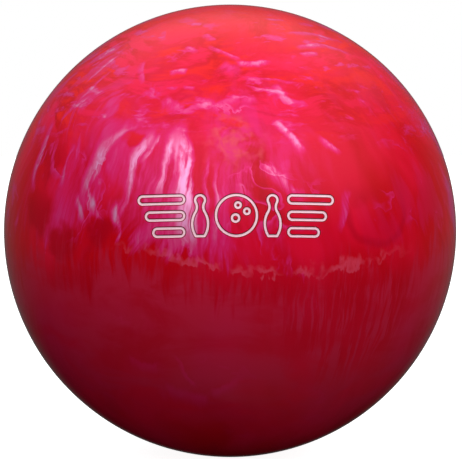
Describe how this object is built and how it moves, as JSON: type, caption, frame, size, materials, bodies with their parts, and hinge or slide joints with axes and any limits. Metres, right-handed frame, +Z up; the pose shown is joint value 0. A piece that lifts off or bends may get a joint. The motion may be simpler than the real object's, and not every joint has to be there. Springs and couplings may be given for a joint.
{
  "type": "bowling ball",
  "caption": "Undrilled pearl polyester ball with an engraved, paint-filled emblem, a filler core, a pancake weight block and a locating pin plug.",
  "frame": {"origin": "centre of the ball", "axes": "+Z up through the ball as it lies, the emblem faces -Y, +X to the right as the emblem is read"},
  "size_m": [0.217, 0.217, 0.217],
  "materials": {
    "pearl_polyester": "polished",
    "filler_resin": "matte",
    "weight_resin": "matte",
    "pin_resin": "polished",
    "emblem_paint": "satin"
  },
  "bodies": {
    "root": {"coverstock": "pearl_polyester", "filler_core": "filler_resin", "weight_block": "weight_resin", "locating_pin": "pin_resin", "emblem_ball_paint": "emblem_paint", "emblem_pin_paint": "emblem_paint", "emblem_bar_paint": "emblem_paint"}
  },
  "joints": []
}
